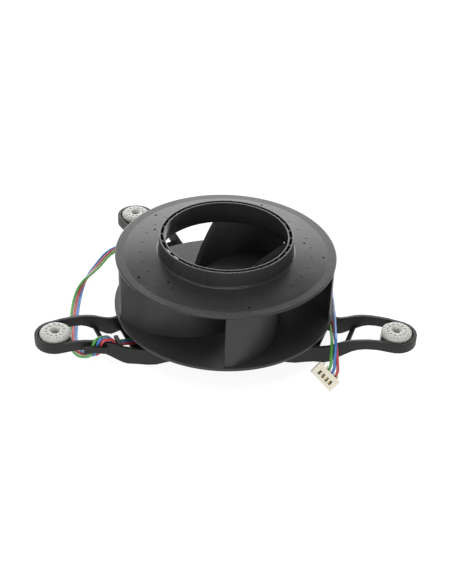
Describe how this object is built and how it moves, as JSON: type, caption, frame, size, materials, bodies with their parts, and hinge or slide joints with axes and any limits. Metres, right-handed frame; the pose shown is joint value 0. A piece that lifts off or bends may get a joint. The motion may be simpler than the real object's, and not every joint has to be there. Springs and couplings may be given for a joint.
{
  "type": "blower motor wheel",
  "caption": "External-rotor radial blower: backward-curved wheel with a round inlet collar on a flat motor, held by a three-armed bracket with soft dampers; free leads end in a small connector.",
  "frame": {"origin": "on the wheel's axis, at the flat underside of the bracket's hub", "axes": "+Z along the wheel's axis, from the bracket towards the inlet collar; +X to the side of the arm that the leads cross last, -Y to the side of the connector"},
  "size_m": [0.2023, 0.1513, 0.0584],
  "materials": {
    "wheel_plastic": "moulded black plastic with a satin surface",
    "bracket_plastic": "moulded black plastic with a finely textured satin surface",
    "silicone": "translucent light grey silicone rubber, slightly dusty",
    "zinc_steel": "zinc-plated steel sheet",
    "ground_steel": "ground steel",
    "ferrite": "dark grey sintered ferrite",
    "brass": "turned brass",
    "copper_wire": "enamelled copper wire",
    "natural_nylon": "natural nylon",
    "board_green": "green solder resist",
    "chip_black": "black moulding compound",
    "lead_green": "green vinyl insulation, slightly shiny",
    "lead_blue": "blue vinyl insulation, slightly shiny",
    "lead_red": "red vinyl insulation, slightly shiny",
    "connector_nylon": "ivory moulded nylon",
    "tinned_contact": "tin-plated spring bronze"
  },
  "bodies": {
    "base": {"bracket": "bracket_plastic", "lead_grommet": "chip_black", "bearing_lower": "ground_steel", "bearing_upper": "ground_steel", "bearing_tube": "brass", "thrust_washer": "natural_nylon", "stator_core": "zinc_steel", "insulator_upper": "natural_nylon", "insulator_lower": "natural_nylon", "coil_1": "copper_wire", "coil_2": "copper_wire", "coil_3": "copper_wire", "coil_4": "copper_wire", "circuit_board": "board_green", "hall_sensor": "chip_black", "driver_ic": "chip_black", "filter_capacitor": "natural_nylon", "sense_resistor": "chip_black", "damper_right": "silicone", "damper_left": "silicone", "damper_rear": "silicone", "lead_green": "lead_green", "lead_blue": "lead_blue", "lead_red": "lead_red", "connector_housing": "connector_nylon", "terminal_1": "tinned_contact", "terminal_2": "tinned_contact", "terminal_3": "tinned_contact"},
    "rotor": {"wheel_shroud": "wheel_plastic", "wheel_base": "wheel_plastic", "balance_weight_1": "zinc_steel", "balance_weight_2": "zinc_steel", "rotor_cup": "zinc_steel", "ring_magnet": "ferrite", "rotor_bush": "brass", "shaft": "ground_steel", "retaining_ring": "ground_steel", "preload_spring": "ground_steel"}
  },
  "joints": [
    {"name": "wheel_spin", "type": "hinge", "parent": "base", "child": "rotor", "pos_m": [0, 0, 0.016], "axis": [0, 0, 1], "continuous": true}
  ]
}
